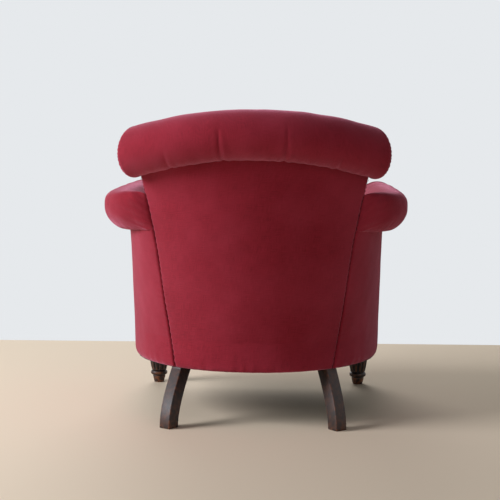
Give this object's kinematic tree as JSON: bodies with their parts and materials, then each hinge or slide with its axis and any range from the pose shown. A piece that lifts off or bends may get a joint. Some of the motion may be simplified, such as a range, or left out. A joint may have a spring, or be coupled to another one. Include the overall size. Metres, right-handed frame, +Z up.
{
  "type": "tub chair",
  "caption": "Upholstered tub chair with a rolled, deep buttoned back, rolled arms, a sprung seat, turned front legs and splayed square back legs.",
  "frame": {"origin": "on the floor, at the centre of the chair's box", "axes": "+Z up, -Y the way a sitter faces, +X the sitter's left"},
  "size_m": [0.7664, 0.7574, 0.77],
  "materials": {
    "crimson_cloth": "plain woven linen, matt",
    "bottom_cloth": "black dyed cotton, matt",
    "dark_wood": "dark stained beech, worn wax",
    "frame_beech": "bare sawn beech",
    "jute": "woven jute",
    "stuffing": "hair and scrim",
    "spring_steel": "drawn wire",
    "tack_steel": "blued cut tacks"
  },
  "bodies": {
    "root": {"outside_back": "crimson_cloth", "outside_arm_left": "crimson_cloth", "outside_arm_right": "crimson_cloth", "inside_back": "crimson_cloth", "inside_arm_left": "crimson_cloth", "inside_arm_right": "crimson_cloth", "back_facing_left": "crimson_cloth", "back_facing_right": "crimson_cloth", "arm_facing_left": "crimson_cloth", "arm_facing_right": "crimson_cloth", "back_buttons": "crimson_cloth", "seat_cover": "crimson_cloth", "seat_stuffing": "stuffing", "front_border": "crimson_cloth", "bottom_cloth": "bottom_cloth", "bottom_tacks": "tack_steel", "back_leg_left": "dark_wood", "back_leg_right": "dark_wood", "front_leg_left": "dark_wood", "front_leg_right": "dark_wood", "seat_rail_front": "frame_beech", "seat_rail_left": "frame_beech", "seat_rail_right": "frame_beech", "seat_rail_back": "frame_beech", "leg_block_left": "frame_beech", "leg_block_right": "frame_beech", "rail_dowels": "frame_beech", "crest_rail": "frame_beech", "crest_board_left": "frame_beech", "crest_board_right": "frame_beech", "arm_rail_left": "frame_beech", "arm_rail_right": "frame_beech", "arm_post_left": "frame_beech", "arm_post_right": "frame_beech", "arm_tack_rail_left": "frame_beech", "arm_tack_rail_right": "frame_beech", "back_tack_rail": "frame_beech", "seat_webbing_long": "jute", "seat_webbing_cross": "jute", "seat_springs": "spring_steel", "spring_twine": "jute", "spring_hessian": "jute", "back_webbing": "jute", "arm_hessian_left": "jute", "arm_hessian_right": "jute"}
  },
  "joints": []
}
